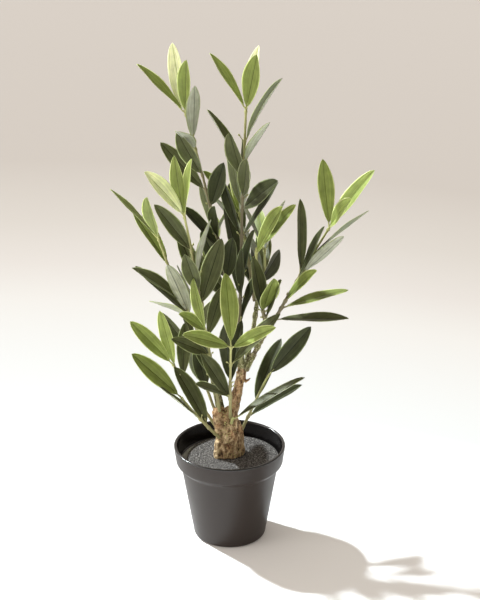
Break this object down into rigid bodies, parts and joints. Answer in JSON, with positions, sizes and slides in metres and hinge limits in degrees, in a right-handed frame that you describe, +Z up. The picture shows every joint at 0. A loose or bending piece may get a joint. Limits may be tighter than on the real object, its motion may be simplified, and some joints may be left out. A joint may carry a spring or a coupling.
{
  "type": "artificial potted olive tree",
  "caption": "Small artificial olive tree in a round nursery pot: a short stubbed trunk on a foam disc, thin boughs and open sprays of narrow leaves.",
  "frame": {"origin": "centre of the pot's flat underside", "axes": "+Z up along the pot's axis, +X to the right of the front view, front facing -Y"},
  "size_m": [0.2443, 0.2142, 0.4927],
  "materials": {
    "pot_plastic": "satin moulded plastic",
    "cement": "cast cement",
    "foam": "speckled open foam",
    "bark": "rough bark",
    "bough_bark": "ribbed moulded bark",
    "foliage": "coated leaf fabric"
  },
  "bodies": {
    "root": {"pot": "pot_plastic", "ballast": "cement", "foam_disc": "foam", "trunk": "bark", "bough_leader": "bough_bark", "bough_right": "bough_bark", "bough_upper_left": "bough_bark", "bough_back": "bough_bark", "bough_left": "bough_bark", "bough_back_left": "bough_bark", "mass_top": "foliage", "mass_upper_left": "foliage", "mass_left": "foliage", "mass_far_left": "foliage", "mass_right": "foliage", "mass_middle_right": "foliage", "mass_front_left": "foliage", "mass_front": "foliage", "mass_lower_left": "foliage", "mass_basal_left": "foliage", "mass_basal_right": "foliage", "mass_low_right": "foliage", "mass_back_right": "foliage", "mass_back_high": "foliage", "mass_back_left": "foliage", "mass_low_back": "foliage"}
  },
  "joints": []
}
